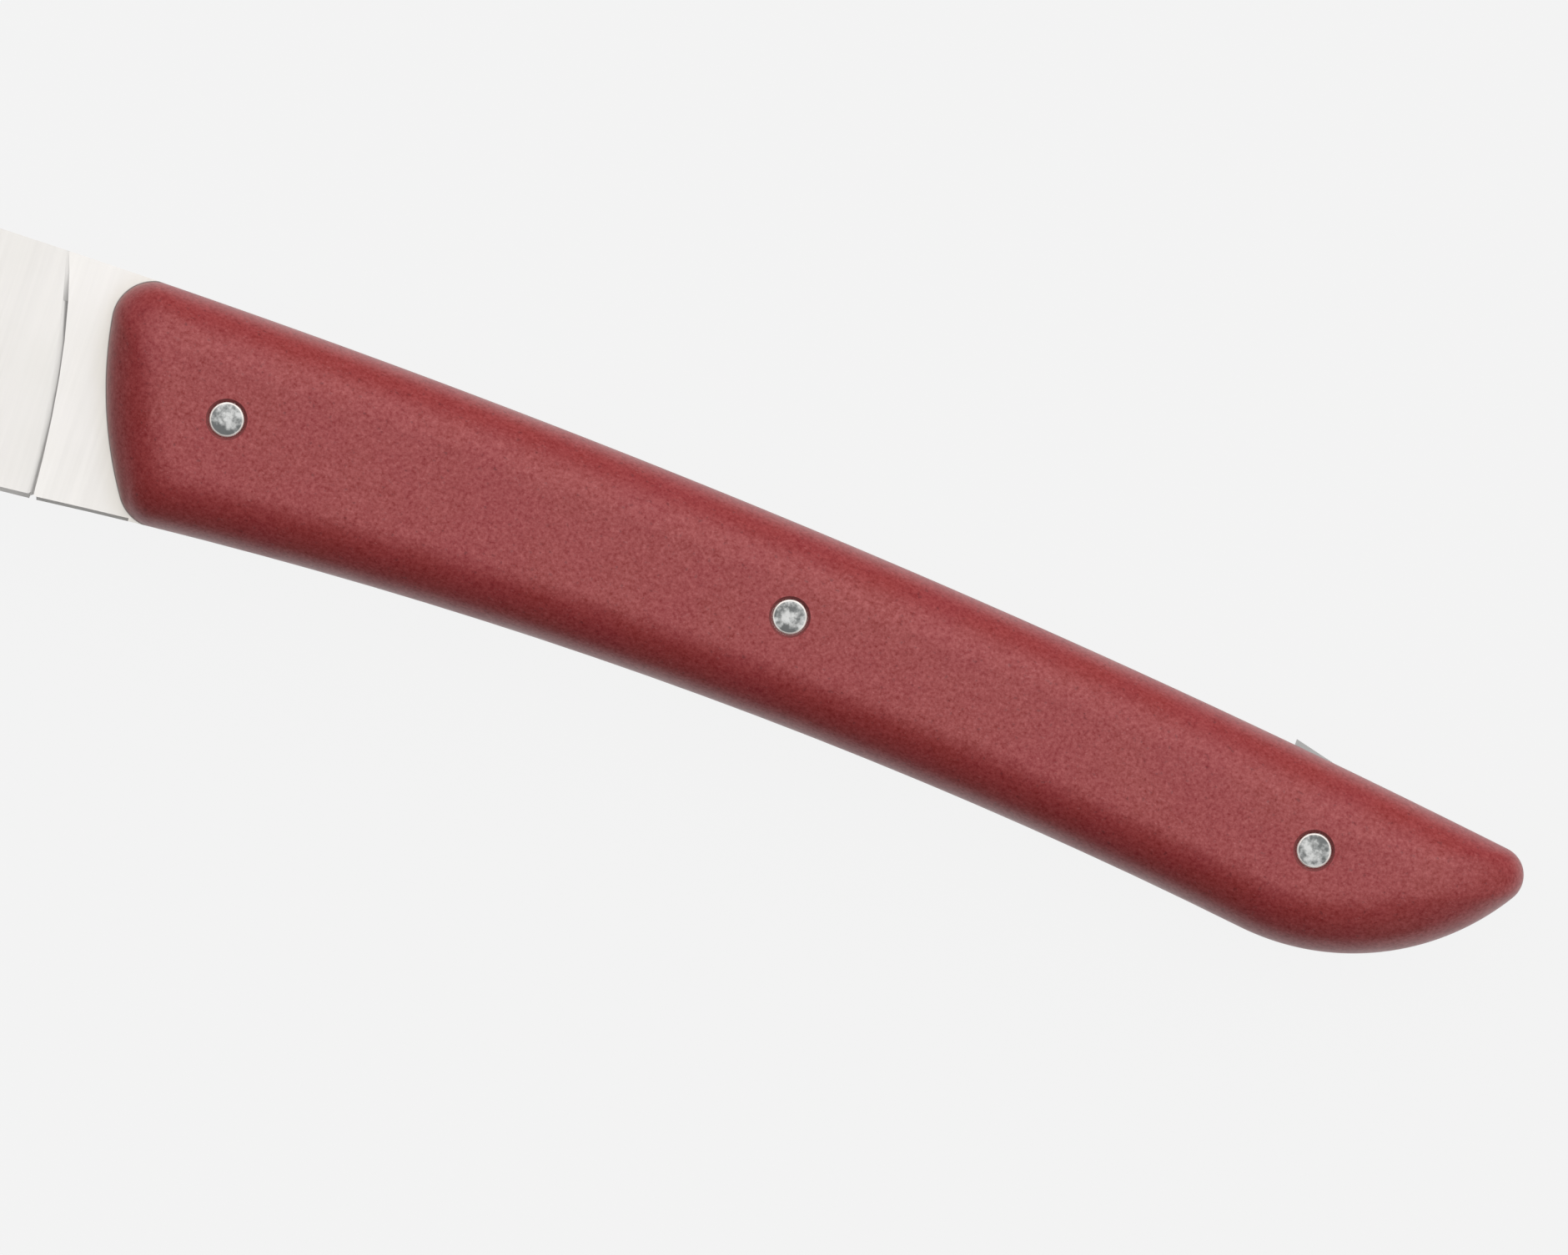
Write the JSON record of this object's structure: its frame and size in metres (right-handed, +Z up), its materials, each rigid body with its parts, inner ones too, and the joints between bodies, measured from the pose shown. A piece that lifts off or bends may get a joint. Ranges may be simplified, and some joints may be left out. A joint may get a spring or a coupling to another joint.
{
  "type": "steak knife",
  "caption": "Full-tang table steak knife: slim plain-edged blade with a straight back, plain flat before the grip, and rounded satin red scales held by round steel pins.",
  "frame": {"origin": "on the table, under the centre of the knife's bounding box, as it lies on its right side", "axes": "+X from the point of the blade to the butt, along the straight back; +Y from the edge to the back; +Z up, out of the left side"},
  "size_m": [0.2362, 0.0232, 0.0135],
  "materials": {
    "blade_steel": "fine satin polish, bright",
    "red_scale": "satin, finely frosted",
    "rivet_steel": "peened and ground flush, mottled"
  },
  "bodies": {
    "root": {"blade_and_tang": "blade_steel", "left_scale": "red_scale", "right_scale": "red_scale", "front_rivet": "rivet_steel", "middle_rivet": "rivet_steel", "rear_rivet": "rivet_steel"}
  },
  "joints": []
}
